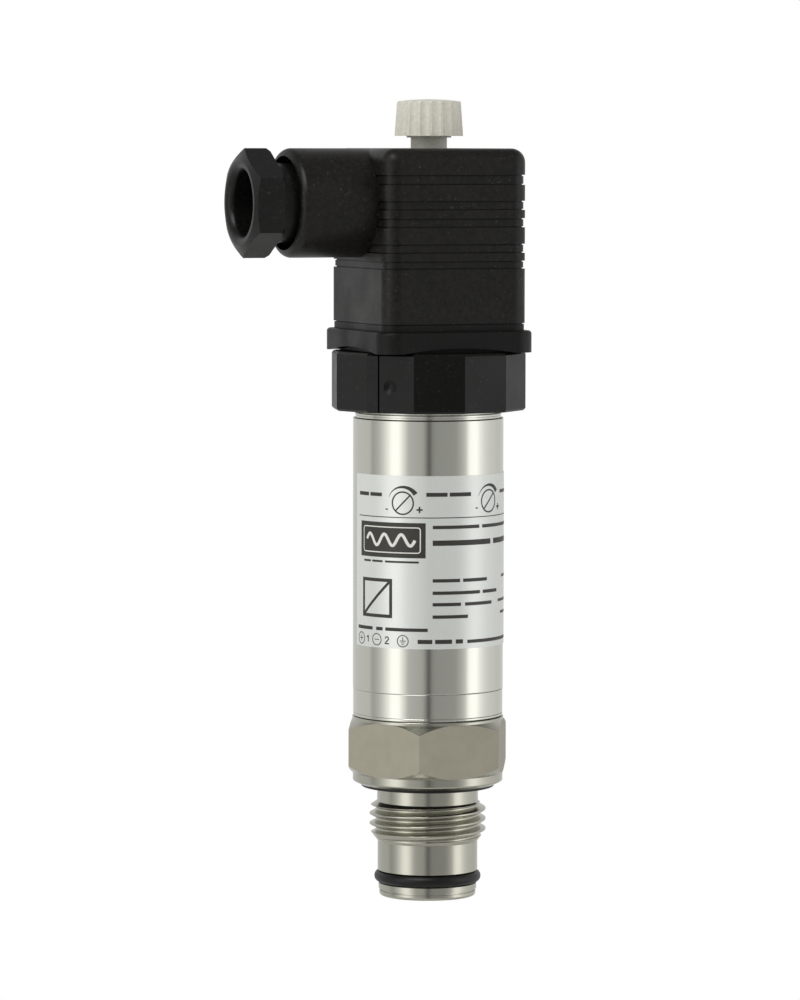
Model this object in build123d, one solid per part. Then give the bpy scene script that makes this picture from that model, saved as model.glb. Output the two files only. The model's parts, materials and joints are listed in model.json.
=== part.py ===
from build123d import *
import os
from math import cos, degrees, radians

os.makedirs("parts", exist_ok=True)

# Pressure transmitter with a front-flush G 1/2 process connection and a square plug.
# Millimetres. Origin on the main axis in the plane of the collar's sealing face, +Z up to the
# plug, -X along the cable gland, -Y towards the plug's front face. Angles in degrees about +Z.

# Clearances
weld_gap = 0.05         # between turned parts that are welded or pressed together
seat_gap = 0.2          # under a part that is only trapped
turn_gap = 0.4          # radial, between a threaded or turning part and what it turns in
ring_gap = 0.1          # radial, between a seal and the metal round it

# Process connection, below the sealing face
thread_r = 20.955 / 2
seat_to_tip = 20.33
tip_r = 8.83
spigot_r = 9.0
foil_rim_h = 0.9
foil_rim_step = 0.15    # radial, from the body's tip in to the rim
foil_rim_round = 0.5
foil_line_h = 0.4       # of the line that is turned in above the rim
foil_line_depth = 0.45
foil_t = 0.12
foil_r = 7.6
foil_wave = 0.1
foil_waves = 4
oil_film = 0.3
capillary_r = 1.0
tip_ring_section = 2.1
tip_ring_outer_r = 9.6
tip_ring_drop = 16.85   # centre of the O-ring below the sealing face
tip_groove_w = 2.4
runout_drop = 10.4      # where the spigot ends and the cone to the thread starts
thread_start_drop = 8.5
thread_end_drop = 3.2
thread_chamfer = 0.9
neck_r = 9.1

# Collar, seal and hexagon
collar_round = 0.25
collar_bevel_w = 1.2    # radial, on the collar's lower edge
collar_bevel_h = 0.6
collar_h = 2.1
seal_rim = 1.5          # radial, from the seal's outer edge to the collar's
seal_inner_r = 9.3
seal_depth = 1.2
seal_stand = 0.5
hex_af = 27.0
hex_h = 9.65
hex_turn = 1.7
hex_low_chamfer = 1.6
hex_top_chamfer = 1.5
hex_face_out = 0.1      # how far the chamfers' end circle lies outside the flats
bead_h = 0.55
bead_round = 0.14
edge_round = 0.12       # on the edges of the tube's and the weld ring's joint

# Measuring cell in the process body
cell_r = 9.25
cell_floor_z = 5.0
cell_h = 5.2
cell_ring_section = 1.3
cell_ring_z = 2.6       # above the cell's floor
pin_r = 0.25
pin_circle_r = 3.2
pin_count = 5
pin_h = 3.6
clamp_ring_h = 2.5
clamp_inner_r = 6.0
clamp_slot_w = 2.0
clamp_slot_h = 1.0
upper_bore_r = 10.2
weld_spigot_step = 1.6  # radial, from the tube in to the spigot
weld_spigot_h = 2.7

# Weld ring between the process body and the tube
joint_line = 0.1
groove_line_h = 0.15
groove_line_depth = 0.15
weld_ring_step = 0.05   # radial, from the tube in to the weld ring
weld_ring_h = 4.2
tube_spigot_h = 2.2
tube_spigot_wall = 1.25

# Housing tube
tube_wall = 1.3
tube_h = 48.85          # up to the shoulder
shoulder_round = 0.3
neck_groove_step = 0.5  # radial, from the tube in to the groove under the neck
neck_groove_h = 0.3
neck_bead_step = 0.35   # radial, from the tube in to the neck
neck_bead_h = 0.5
neck_round = 0.12

# Label foil
label_t = 0.12
label_low = 8.2         # above the tube's lower end
label_h = 30.8
label_w = 60.0
label_edge_angle = -182.1

# Cap that closes the tube
cap_flange_h = 0.4
cap_plug_h = 6.5
cap_bore_r = 7.0
cap_ring_section = 1.25
cap_ring_drop = 3.4     # centre of the O-ring below the flange

# Electronics
carrier_cap_gap = 0.6
carrier_ring_h = 2.5
carrier_ring_wall = 1.8
rail_w = 4.4
rail_sink = 0.4         # of the rails into the carrier's rings
rail_t = 2.0
carrier_floor = 0.8
board_grip = 1.2        # of the rails on each of the board's edges
board_t = 1.2
board_top_gap = 1.1     # below the carrier's top
slot_gap = 0.05
chip_size = (7.0, 1.0, 7.0)
chip_rise = 16.0
driver_size = (5.0, 1.4, 4.0)
driver_rise = 27.0
capacitor_size = (1.6, 1.2, 3.2)
capacitor_pitch = 3.4
capacitor_count = 4
capacitor_rise = 8.0
ribbon_w = 8.0
ribbon_t = 0.2
ribbon_lap = 4.0
lead_r = 0.6
lead_pitch = 3.5
lead_count = 3
lead_lap = 4.0

# Twelve-sided ring
ring_corner_r = 17.58
ring_h = 10.55
ring_turn = -1.2
ring_chamfer = 0.4
ring_wall = 2.2
ring_web = 2.2
ring_hub_wall = 1.7
slit_w = 0.3
slit_angle = -143.7
gate_r = 1.3
gate_floor_r = 0.4
gate_depth = 0.35
gate_drop = 0.6         # below the middle of the facet
gate_facet = -5         # number of the facet that carries the gate mark

# Connector base with its contacts
hub_r = 12.0
hub_wall = 1.2
base_inset = 1.05       # from the plug's sides in to the base plate
base_plate_h = 2.7
base_floor_h = 4.2
base_corner = 2.0
blade_circle = 9.0
blade_w = 6.3
blade_t = 0.8
blade_rise = 9.6
blade_nose = 0.3
tail_w = 2.0
insert_r = 2.3
insert_h = 8.7
insert_wall = 1.0

# Trimmer board
trim_board_r = 10.4
trim_board_t = 1.2
trim_board_rise = 1.4   # above the cap's flange
trimmer_side = 4.4
trimmer_h = 3.2
trimmer_offset = 4.9
rotor_r = 1.4
rotor_h = 0.9
rotor_pin_r = 0.8
rotor_pin_h = 1.3
rotor_fit = 0.06
rotor_slot_w = 0.4
rotor_slot_depth = 0.4
access_r = 1.7

# Profile gasket
gasket_overhang = 1.1   # beyond the plug's sides
gasket_corner = 3.5
gasket_h = 3.9
gasket_arch = 0.9
gasket_arch_chord = 22.0
gasket_block_gap = 0.4
band_inset = 0.1        # from the plug's sides
band_h = 1.3
band_line_h = 0.18      # of the line between the band and the plug
band_line_depth = 0.35

# Plug housing
blade_to_wall = 2.75    # from the contacts' middle to the housing's wall
plug_h = 31.0
plug_corner = 2.8
plug_top_round = 2.5
plug_wall = 2.0
plug_roof = 3.0
groove_depth = 0.3
notch_depth = 0.25      # deeper than the groove, along both of its edges
notch_h = 0.2
groove_tops = (26.32, 21.72, 18.64, 14.1, 11.1)   # above the housing's lower edge
groove_heights = (1.78, 1.63, 1.63, 1.63, 1.43)
screw_hole_r = 2.0
screw_bore_depth = 1.8
boss_r = 9.7
boss_reach = 27.9
boss_round = 1.4
boss_bore_r = 8.35
boss_step_x = 12.9
boss_throat_r = 6.2

# Terminal block, contacts and screws
block_gap = 0.95        # between the block and the housing's walls
block_drop = 1.9        # below the housing's lower edge
block_h = 13.2
block_hole_r = 2.0
contact_w = 7.4
contact_inset = 2.5     # of the clips, towards the axis from the blades
contact_outset = 0.9
contact_lift = 0.5
contact_h = 10.7
contact_slot_w = 6.8
contact_slot_t = 1.3
contact_roof = 1.7
terminal_screw_step = 0.8  # from the blades towards the axis
terminal_head_r = 2.2
terminal_head_h = 1.6
terminal_shank_r = 1.5
terminal_slot_w = 0.6

# Central screw and knob
screw_r = 1.5
screw_thread_gap = 0.2
screw_tip_reach = 9.7   # below the housing's lower edge
stem_r = 3.25
stem_sink = 0.8
stem_rise = 1.9         # of the knob's stem above the housing's top
screw_core_r = 2.4
screw_core_h = 4.2
seal_h = 0.8
seal_bore_r = 1.9
knob_low_r = 6.15
knob_top_r = 5.75
knob_h = 6.15
knob_dome = 0.4
knob_step_r = 4.0
knob_step_h = 0.3
knob_chamfer = 0.3
flute_count = 18
flute_r = 1.3
flute_depth = 0.35

# Cable gland
nut_af = 16.8
nut_gap = 2.9
nut_ridge = 4.6
nut_nose = 0.85
nut_face_r = 7.5
nut_bore_r = 5.75
nut_mouth = 1.4         # round at the mouth of the bore
nut_turn = -2.0
nut_neck_step = 0.9     # radial, from the shank in to its neck
nut_neck_sink = 3.0     # of the neck into the boss
nut_shank_end_x = 20.5
washer_t = 1.0
grommet_bore_r = 4.0
nut_chamfer_back = 0.5


def turned(points):
    """A solid turned about Z from closed (radius, height) points."""
    outline = Plane.XZ * make_face(Polyline(*points, close=True))
    return revolve(outline, Axis.Z, 360)


def tube_of(outer, inner, low, high):
    """A plain ring between two radii and two heights."""
    return turned([(inner, low), (outer, low), (outer, high), (inner, high)])


def disc(radius, low, high):
    """A plain disc on the axis."""
    return Pos(0, 0, (low + high) / 2) * Cylinder(radius, high - low)


def block(width, depth, low, high):
    """A rectangular block centred on the axis."""
    return Pos(0, 0, (low + high) / 2) * Box(width, depth, high - low)


def square(side, corner, low, high):
    """A square block with rounded upright corners."""
    return Pos(0, 0, low) * extrude(RectangleRounded(side, side, corner), high - low)


def rims(shape, radius, height):
    """The circular edges of one radius at one height."""
    circles = shape.edges().filter_by(GeomType.CIRCLE)
    return circles.filter_by(
        lambda e: abs(e.radius - radius) < 0.01 and abs(e.arc_center.Z - height) < 0.01
    )


def o_ring(centre_r, section, height):
    """An O-ring on the axis."""
    return Pos(0, 0, height) * Torus(centre_r, section / 2)


# Radii that follow the hexagon: it and the tube come from one bar
tube_r = hex_af / 2
collar_r = tube_r
bead_r = tube_r + hex_face_out
weld_ring_r = tube_r - weld_ring_step
neck_bead_r = tube_r - neck_bead_step
neck_groove_r = tube_r - neck_groove_step
seal_outer_r = collar_r - seal_rim
weld_spigot_r = tube_r - weld_spigot_step

# Widths that follow the contacts: their circle sets the plug, the base and the gasket
plug_side = 2 * (blade_circle + blade_to_wall + plug_wall)
block_side = plug_side - 2 * (plug_wall + block_gap)
base_plate = plug_side - 2 * base_inset
gasket_side = plug_side + 2 * gasket_overhang
band_side = plug_side - 2 * band_inset
gasket_opening = block_side + 2 * gasket_block_gap
contact_inner = blade_circle - contact_inset
contact_outer = blade_circle + contact_outset
terminal_screw_circle = blade_circle - terminal_screw_step

# Levels, all above the sealing face
tip_z = -seat_to_tip
body_tip_z = tip_z + foil_rim_h
tip_ring_z = -tip_ring_drop
hex_top_z = collar_h + hex_h
bead_top_z = hex_top_z + bead_h
weld_ring_z = bead_top_z + joint_line
tube_z = weld_ring_z + bead_h + groove_line_h + weld_ring_h
shoulder_z = tube_z + tube_h
tube_top_z = shoulder_z + neck_groove_h + neck_bead_h
flange_z = tube_top_z + joint_line
ring_z = flange_z + cap_flange_h
ring_top_z = ring_z + ring_h
base_top_z = ring_top_z + base_plate_h
gasket_z = ring_top_z
band_z = gasket_z + gasket_h
plug_z = band_z + band_h
plug_top_z = plug_z + plug_h
gland_z = plug_top_z - boss_r

# Process body: spigot, thread blank, collar and hexagon in one turned piece. The thread's
# grooves are left off, so the blank has the thread's full outer diameter.
tip_ring_r = tip_ring_outer_r - tip_ring_section / 2
tip_groove_r = tip_ring_r - tip_ring_section / 2 - ring_gap
tip_groove_low = tip_ring_z - tip_groove_w / 2
tip_groove_top = tip_ring_z + tip_groove_w / 2
seal_groove_r = seal_outer_r + ring_gap
bead_neck_r = bead_r - groove_line_depth
weld_spigot_z = bead_top_z + weld_spigot_h
foil_line_r = tip_r - foil_line_depth

process_body = turned([
    (0, body_tip_z),
    (foil_line_r, body_tip_z),
    (foil_line_r, body_tip_z + foil_line_h),
    (tip_r, body_tip_z + foil_line_h),
    (tip_r, tip_groove_low),
    (tip_groove_r, tip_groove_low),
    (tip_groove_r, tip_groove_top),
    (spigot_r, tip_groove_top),
    (spigot_r, -runout_drop),
    (thread_r, -thread_start_drop),
    (thread_r, -thread_end_drop - thread_chamfer),
    (neck_r, -thread_end_drop),
    (neck_r, seal_depth),
    (seal_groove_r, seal_depth),
    (seal_groove_r, 0),
    (collar_r - collar_bevel_w, 0),
    (collar_r, collar_bevel_h),
    (collar_r, collar_h),
    (bead_neck_r, collar_h),
    (bead_neck_r, hex_top_z),
    (bead_r, hex_top_z),
    (bead_r, bead_top_z),
    (weld_spigot_r, bead_top_z),
    (weld_spigot_r, weld_spigot_z),
    (0, weld_spigot_z),
])
process_body = fillet(rims(process_body, collar_r, collar_bevel_h), collar_round)
process_body = fillet(rims(process_body, bead_r, bead_top_z), bead_round)

hex_corner_r = hex_af / 3**0.5
hex_face_r = bead_r
hexagon = Pos(0, 0, collar_h) * extrude(
    RegularPolygon(hex_af / 2, 6, major_radius=False, rotation=hex_turn), hex_h
)
hex_envelope = turned([
    (0, collar_h),
    (hex_face_r, collar_h),
    (hex_corner_r, collar_h + hex_low_chamfer),
    (hex_corner_r, hex_top_z - hex_top_chamfer),
    (hex_face_r, hex_top_z),
    (0, hex_top_z),
])
process_body += hexagon & hex_envelope

cell_top_z = cell_floor_z + cell_h
clamp_top_z = cell_top_z + clamp_ring_h
cell_bore_r = cell_r + weld_gap
process_body -= turned([
    (0, body_tip_z),
    (foil_r, body_tip_z),
    (foil_r, body_tip_z + oil_film),
    (capillary_r, body_tip_z + oil_film),
    (capillary_r, cell_floor_z),
    (cell_bore_r, cell_floor_z),
    (cell_bore_r, clamp_top_z),
    (upper_bore_r, clamp_top_z),
    (upper_bore_r, weld_spigot_z),
    (0, weld_spigot_z),
])
export_step(process_body, "parts/process_body.step")

# Front-flush diaphragm: a thin foil with concentric waves in a welded rim
foil_z = body_tip_z - foil_rim_h / 2
foil_rim_r = tip_r - foil_rim_step
wave_pitch = foil_r / (2 * foil_waves + 1)
foil_under = [(0, foil_z)]
foil_over = [(0, foil_z + foil_t)]
for i in range(1, 2 * foil_waves + 1):
    lift = foil_wave if i % 2 else 0
    foil_under.append((i * wave_pitch, foil_z - lift))
    foil_over.append((i * wave_pitch, foil_z - lift + foil_t))
diaphragm = turned(
    foil_under
    + [(foil_r, foil_z), (foil_r, tip_z), (foil_rim_r, tip_z), (foil_rim_r, body_tip_z)]
    + [(foil_r, body_tip_z), (foil_r, foil_z + foil_t)]
    + foil_over[::-1]
)
diaphragm = fillet(rims(diaphragm, foil_rim_r, tip_z), foil_rim_round)
export_step(diaphragm, "parts/diaphragm.step")

tip_o_ring = o_ring(tip_ring_r, tip_ring_section, tip_ring_z)
export_step(tip_o_ring, "parts/tip_o_ring.step")

# Elastomer profile ring in the collar's face, standing proud of it
seat_ring = tube_of(seal_outer_r, seal_inner_r, -seal_stand, seal_depth)
seat_ring = fillet(rims(seat_ring, seal_outer_r, -seal_stand), seal_stand / 2)
export_step(seat_ring, "parts/seat_ring.step")

# Measuring cell with its glass-sealed pins, the O-ring round it and the ring that clamps it
cell_ring_r = cell_bore_r - cell_ring_section / 2
cell_groove_r = cell_ring_r - cell_ring_section / 2 - ring_gap
cell_groove_low = cell_floor_z + cell_ring_z - cell_ring_section / 2 - ring_gap
cell_groove_top = cell_floor_z + cell_ring_z + cell_ring_section / 2 + ring_gap
sensor_cell = turned([
    (capillary_r, cell_floor_z),
    (cell_r, cell_floor_z),
    (cell_r, cell_groove_low),
    (cell_groove_r, cell_groove_low),
    (cell_groove_r, cell_groove_top),
    (cell_r, cell_groove_top),
    (cell_r, cell_top_z),
    (0, cell_top_z),
    (0, cell_floor_z + cell_h / 2),
    (capillary_r, cell_floor_z + cell_h / 2),
])
for spot in PolarLocations(pin_circle_r, pin_count):
    pin = Pos(spot.position.X, spot.position.Y, 0) * disc(pin_r, cell_top_z, cell_top_z + pin_h)
    sensor_cell += pin
export_step(sensor_cell, "parts/sensor_cell.step")

cell_o_ring = o_ring(cell_ring_r - weld_gap, cell_ring_section, cell_floor_z + cell_ring_z)
export_step(cell_o_ring, "parts/cell_o_ring.step")

cell_clamp_ring = tube_of(cell_r, clamp_inner_r, cell_top_z, clamp_top_z)
cell_clamp_ring -= block(clamp_slot_w, 3 * cell_r, clamp_top_z - clamp_slot_h, clamp_top_z)
export_step(cell_clamp_ring, "parts/cell_clamp_ring.step")

# Weld ring: joins the process body to the tube
weld_bore_r = weld_spigot_r + weld_gap
weld_line_r = weld_ring_r - groove_line_depth
collar_z = weld_ring_z + bead_h + groove_line_h
tube_bore_r = tube_r - tube_wall
tube_spigot_r = tube_bore_r - weld_gap
weld_ring = turned([
    (weld_bore_r, weld_ring_z),
    (weld_ring_r, weld_ring_z),
    (weld_ring_r, weld_ring_z + bead_h),
    (weld_line_r, weld_ring_z + bead_h),
    (weld_line_r, collar_z),
    (weld_ring_r, collar_z),
    (weld_ring_r, tube_z),
    (tube_spigot_r, tube_z),
    (tube_spigot_r, tube_z + tube_spigot_h),
    (tube_spigot_r - tube_spigot_wall, tube_z + tube_spigot_h),
    (tube_spigot_r - tube_spigot_wall, weld_spigot_z + seat_gap),
    (weld_bore_r, weld_spigot_z + seat_gap),
])
weld_ring = fillet(rims(weld_ring, weld_ring_r, weld_ring_z), bead_round)
weld_ring = fillet(rims(weld_ring, weld_ring_r, weld_ring_z + bead_h), bead_round)
weld_ring = fillet(rims(weld_ring, weld_ring_r, tube_z), edge_round)
export_step(weld_ring, "parts/weld_ring.step")

housing_tube = turned([
    (tube_bore_r, tube_z),
    (tube_r, tube_z),
    (tube_r, shoulder_z),
    (neck_groove_r, shoulder_z),
    (neck_groove_r, shoulder_z + neck_groove_h),
    (neck_bead_r, shoulder_z + neck_groove_h),
    (neck_bead_r, tube_top_z),
    (tube_bore_r, tube_top_z),
])
housing_tube = fillet(rims(housing_tube, tube_r, shoulder_z), shoulder_round)
housing_tube = fillet(rims(housing_tube, tube_r, tube_z), edge_round)
housing_tube = fillet(rims(housing_tube, neck_bead_r, tube_top_z), neck_round)
housing_tube = fillet(rims(housing_tube, neck_bead_r, shoulder_z + neck_groove_h), neck_round)
export_step(housing_tube, "parts/housing_tube.step")

# Label foil wrapped round the tube
label_z = tube_z + label_low
label_turn = degrees(label_w / tube_r)
label_outline = make_face(Polyline(
    (tube_r, label_z),
    (tube_r + label_t, label_z),
    (tube_r + label_t, label_z + label_h),
    (tube_r, label_z + label_h),
    close=True,
))
label = revolve(Plane.XZ * label_outline, Axis.Z, label_turn)
label = Rot(0, 0, label_edge_angle) * label
export_step(label, "parts/label.step")

# Carrier and circuit board inside the tube
carrier_z = tube_z + tube_spigot_h
carrier_top_z = flange_z - cap_plug_h - carrier_cap_gap
carrier_r = tube_bore_r - seat_gap
board_z = carrier_z + carrier_floor
rail_outer_x = carrier_r - rail_sink
rail_inner_x = rail_outer_x - rail_t
board_half_w = rail_outer_x - board_grip
slot_half_w = board_half_w + slot_gap
slot_t = board_t + 2 * slot_gap
board_carrier = tube_of(carrier_r, carrier_r - carrier_ring_wall, carrier_z, carrier_z + carrier_ring_h)
board_carrier += tube_of(
    carrier_r, carrier_r - carrier_ring_wall, carrier_top_z - carrier_ring_h, carrier_top_z
)
rail_x = (rail_inner_x + rail_outer_x) / 2
for side in (-1, 1):
    rail = block(rail_outer_x - rail_inner_x, rail_w, carrier_z, carrier_top_z)
    board_carrier += Pos(side * rail_x, 0, 0) * rail
board_carrier = board_carrier & disc(carrier_r, carrier_z, carrier_top_z)
board_carrier -= block(2 * slot_half_w, slot_t, board_z, carrier_top_z)
export_step(board_carrier, "parts/board_carrier.step")

board_top_z = carrier_top_z - board_top_gap
signal_board = block(2 * board_half_w, board_t, board_z, board_top_z)
export_step(signal_board, "parts/signal_board.step")


def mounted(size, x, rise):
    """A part lying flat on the board's front face."""
    y = -board_t / 2 - size[1] / 2
    return Pos(x, y, board_z + rise + size[2] / 2) * Box(*size)


processor_chip = mounted(chip_size, 0, chip_rise)
export_step(processor_chip, "parts/processor_chip.step")

output_driver = mounted(driver_size, 0, driver_rise)
export_step(output_driver, "parts/output_driver.step")

capacitor_start = -(capacitor_count - 1) / 2 * capacitor_pitch
filter_capacitors = Compound(children=[
    mounted(capacitor_size, capacitor_start + i * capacitor_pitch, capacitor_rise)
    for i in range(capacitor_count)
])
export_step(filter_capacitors, "parts/filter_capacitors.step")

ribbon_low = cell_top_z + pin_h
ribbon_y = board_t / 2 + ribbon_t / 2
cell_ribbon = Pos(0, ribbon_y, 0) * block(ribbon_w, ribbon_t, ribbon_low, board_z + ribbon_lap)
export_step(cell_ribbon, "parts/cell_ribbon.step")

# Cap that closes the tube, with its O-ring
cap_plug_r = tube_bore_r - ring_gap
cap_ring_r = tube_bore_r - weld_gap / 2 - cap_ring_section / 2
cap_groove_r = cap_ring_r - cap_ring_section / 2 - ring_gap
cap_ring_z = flange_z - cap_ring_drop
cap_groove_half = cap_ring_section / 2 + ring_gap
tube_cap = turned([
    (cap_bore_r, flange_z - cap_plug_h),
    (cap_plug_r, flange_z - cap_plug_h),
    (cap_plug_r, cap_ring_z - cap_groove_half),
    (cap_groove_r, cap_ring_z - cap_groove_half),
    (cap_groove_r, cap_ring_z + cap_groove_half),
    (cap_plug_r, cap_ring_z + cap_groove_half),
    (cap_plug_r, flange_z),
    (neck_bead_r, flange_z),
    (neck_bead_r, ring_z),
    (cap_bore_r, ring_z),
])
tube_cap = fillet(rims(tube_cap, neck_bead_r, flange_z), neck_round)
export_step(tube_cap, "parts/tube_cap.step")

cap_o_ring = o_ring(cap_ring_r, cap_ring_section, cap_ring_z)
export_step(cap_o_ring, "parts/cap_o_ring.step")

# Twelve-sided ring: outer wall, web and hub, open below, split by one slit
twelve_sides = RegularPolygon(ring_corner_r, 12, rotation=ring_turn)
ring_flat_r = ring_corner_r * cos(radians(15))
polygon_ring = Pos(0, 0, ring_z) * extrude(twelve_sides, ring_h)
outer_edges = polygon_ring.edges().filter_by(Plane.XY)
polygon_ring = chamfer(outer_edges, ring_chamfer)
polygon_ring -= tube_of(
    ring_flat_r - ring_wall, hub_r + weld_gap + ring_hub_wall, ring_z, ring_top_z - ring_web
)
polygon_ring -= disc(hub_r + weld_gap, ring_z, ring_top_z)
slit = Pos(ring_corner_r / 2 + hub_r / 2, 0, 0) * block(ring_corner_r, slit_w, ring_z, ring_top_z)
polygon_ring -= Rot(0, 0, slit_angle) * slit
facet_angle = ring_turn + 15 + 30 * gate_facet
gate_x = ring_flat_r - gate_depth / 2
gate_z = ring_z + ring_h / 2 - gate_drop
gate = Pos(gate_x, 0, gate_z) * Rot(0, 90, 0) * Cone(gate_floor_r, gate_r, gate_depth)
polygon_ring -= Rot(0, 0, facet_angle) * gate
export_step(polygon_ring, "parts/polygon_ring.step")

# Connector base: hub inside the ring, square plate on top of it, boss round the insert
base_under_z = base_top_z - base_floor_h
insert_z = base_top_z - insert_h
connector_base = disc(hub_r, ring_z, ring_top_z)
connector_base += square(base_plate, base_corner, ring_top_z, base_top_z)
connector_base -= disc(hub_r - hub_wall, ring_z, base_under_z)
connector_base += disc(insert_r + insert_wall, insert_z, base_under_z)
connector_base -= disc(insert_r, insert_z, base_top_z)
for side in (-1, 1):
    access = disc(access_r, base_under_z, base_top_z)
    connector_base -= Pos(side * trimmer_offset, trimmer_offset, 0) * access

trim_board_z = ring_z + trim_board_rise
trim_top_z = trim_board_z + trim_board_t
blade = block(blade_t, blade_w, base_under_z, base_top_z + blade_rise)
blade = chamfer(blade.faces().sort_by(Axis.Z)[-1].edges().filter_by(Axis.Y), blade_nose)
blade += block(blade_t, tail_w, trim_top_z, base_under_z)
blade = Pos(blade_circle, 0, 0) * blade
for turn in (0, 90, 180, 270):
    slot = Pos(blade_circle, 0, 0) * block(blade_t, blade_w, base_under_z, base_top_z)
    connector_base -= Rot(0, 0, turn) * slot
export_step(connector_base, "parts/connector_base.step")

contact_blades = Compound(children=[Rot(0, 0, turn) * blade for turn in (0, 90, 180)])
export_step(contact_blades, "parts/contact_blades.step")

earth_blade = Rot(0, 0, 270) * blade
export_step(earth_blade, "parts/earth_blade.step")

screw_insert = tube_of(insert_r, screw_r + screw_thread_gap, insert_z, base_top_z)
export_step(screw_insert, "parts/screw_insert.step")

# Trimmer board under the base, with the zero and span trimmers below their access holes
trimmer_board = disc(trim_board_r, trim_board_z, trim_top_z)
export_step(trimmer_board, "parts/trimmer_board.step")

trimmer_top_z = trim_top_z + trimmer_h
trimmer_body = block(trimmer_side, trimmer_side, trim_top_z, trimmer_top_z)
rotor_foot_z = trimmer_top_z - rotor_pin_h
trimmer_body -= disc(rotor_pin_r + rotor_fit, rotor_foot_z - ring_gap, trimmer_top_z)
rotor = disc(rotor_r, trimmer_top_z + ring_gap, trimmer_top_z + ring_gap + rotor_h)
rotor += disc(rotor_pin_r, rotor_foot_z, trimmer_top_z + ring_gap)
rotor_top_z = trimmer_top_z + ring_gap + rotor_h
rotor -= block(2 * rotor_r, rotor_slot_w, rotor_top_z - rotor_slot_depth, rotor_top_z)
zero_place = Pos(-trimmer_offset, trimmer_offset, 0)
span_place = Pos(trimmer_offset, trimmer_offset, 0)
export_step(zero_place * trimmer_body, "parts/zero_trimmer.step")
export_step(span_place * trimmer_body, "parts/span_trimmer.step")
export_step(zero_place * rotor, "parts/zero_rotor.step")
export_step(span_place * rotor, "parts/span_rotor.step")

lead_start = -(lead_count - 1) / 2 * lead_pitch
lead_y = -board_t / 2 - lead_r
lead_low = board_top_z - lead_lap
inner_leads = Compound(children=[
    Pos(lead_start + i * lead_pitch, lead_y, 0) * disc(lead_r, lead_low, trim_board_z)
    for i in range(lead_count)
])
export_step(inner_leads, "parts/inner_leads.step")

# Profile gasket: skirt over the base plate with arched lower edges, thin band above
gasket_inside = base_plate + 2 * weld_gap
profile_gasket = square(gasket_side, gasket_corner, gasket_z, band_z)
profile_gasket = fillet(
    profile_gasket.faces().sort_by(Axis.Z)[-1].edges(), (gasket_side - band_side) / 4
)
profile_gasket += square(band_side, plug_corner, band_z, plug_z - band_line_h)
band_line = band_side - 2 * band_line_depth
profile_gasket += square(band_line, plug_corner - band_line_depth, band_z, plug_z)
profile_gasket -= square(gasket_inside, base_corner, gasket_z, base_top_z)
profile_gasket -= square(gasket_opening, base_corner, base_top_z, plug_z)
arch_r = (gasket_arch_chord**2 / 4 + gasket_arch**2) / (2 * gasket_arch)
arch = Pos(0, 0, gasket_z + gasket_arch - arch_r) * Rot(90, 0, 0) * Cylinder(arch_r, 2 * gasket_side)
profile_gasket -= arch
profile_gasket -= Rot(0, 0, 90) * arch
export_step(profile_gasket, "parts/profile_gasket.step")

# Plug housing: square hood with grip grooves, gland boss and counterbored screw hole
plug_housing = square(plug_side, plug_corner, plug_z, plug_top_z)
plug_housing = fillet(plug_housing.faces().sort_by(Axis.Z)[-1].edges(), plug_top_round)


def grip_cut(depth, low, high):
    """What a groove of one depth takes off all four sides of the plug."""
    frame = square(plug_side + plug_wall, plug_corner, low, high)
    return frame - square(plug_side - 2 * depth, plug_corner - depth, low, high)


deep = groove_depth + notch_depth
for top, height in zip(groove_tops, groove_heights):
    low = plug_z + top - height
    high = plug_z + top
    plug_housing -= grip_cut(groove_depth, low, high)
    plug_housing -= grip_cut(deep, low, low + notch_h)
    plug_housing -= grip_cut(deep, high - notch_h, high)


def along_gland(radius, near_x, far_x):
    """A cylinder on the gland's axis between two distances from the main axis."""
    length = far_x - near_x
    return Pos(-(near_x + far_x) / 2, 0, gland_z) * Rot(0, 90, 0) * Cylinder(radius, length)


boss = along_gland(boss_r, plug_side / 2 - plug_wall, boss_reach)
boss_end = boss.edges().filter_by(GeomType.CIRCLE).sort_by(Axis.X)[0]
plug_housing += fillet(boss_end, boss_round)
cavity_half = plug_side / 2 - plug_wall
plug_housing -= square(2 * cavity_half, plug_corner / 2, plug_z, plug_top_z - plug_roof)
plug_housing -= along_gland(boss_bore_r, boss_step_x, boss_reach)
plug_housing -= along_gland(boss_throat_r, cavity_half - plug_wall, boss_step_x)
screw_bore_z = plug_top_z - screw_bore_depth
plug_housing -= disc(screw_hole_r, plug_top_z - plug_roof, plug_top_z)
plug_housing -= disc(stem_r + seat_gap, screw_bore_z, plug_top_z)
export_step(plug_housing, "parts/plug_housing.step")

# Terminal block with its four clips and screws
block_z = plug_z - block_drop
block_top_z = block_z + block_h
contact_z = block_z + contact_lift
contact_top_z = contact_z + contact_h
contact_x = (contact_inner + contact_outer) / 2
contact_t = contact_outer - contact_inner
clip_body = Pos(contact_x, 0, 0) * block(contact_t, contact_w, contact_z, contact_top_z)
clip_slot = Pos(blade_circle, 0, 0) * block(
    contact_slot_t, contact_slot_w, contact_z, contact_top_z - contact_roof
)
clip_hole = Pos(terminal_screw_circle, 0, 0) * disc(
    terminal_shank_r, contact_top_z - contact_roof, contact_top_z
)
clip = clip_body - clip_slot - clip_hole
terminal_screw = disc(terminal_head_r, contact_top_z, contact_top_z + terminal_head_h)
terminal_screw -= block(
    2 * terminal_head_r, terminal_slot_w, contact_top_z + terminal_head_h / 2, contact_top_z + terminal_head_h
)
terminal_screw += disc(terminal_shank_r, contact_top_z - contact_roof, contact_top_z)
terminal_screw = Pos(terminal_screw_circle, 0, 0) * terminal_screw

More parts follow.
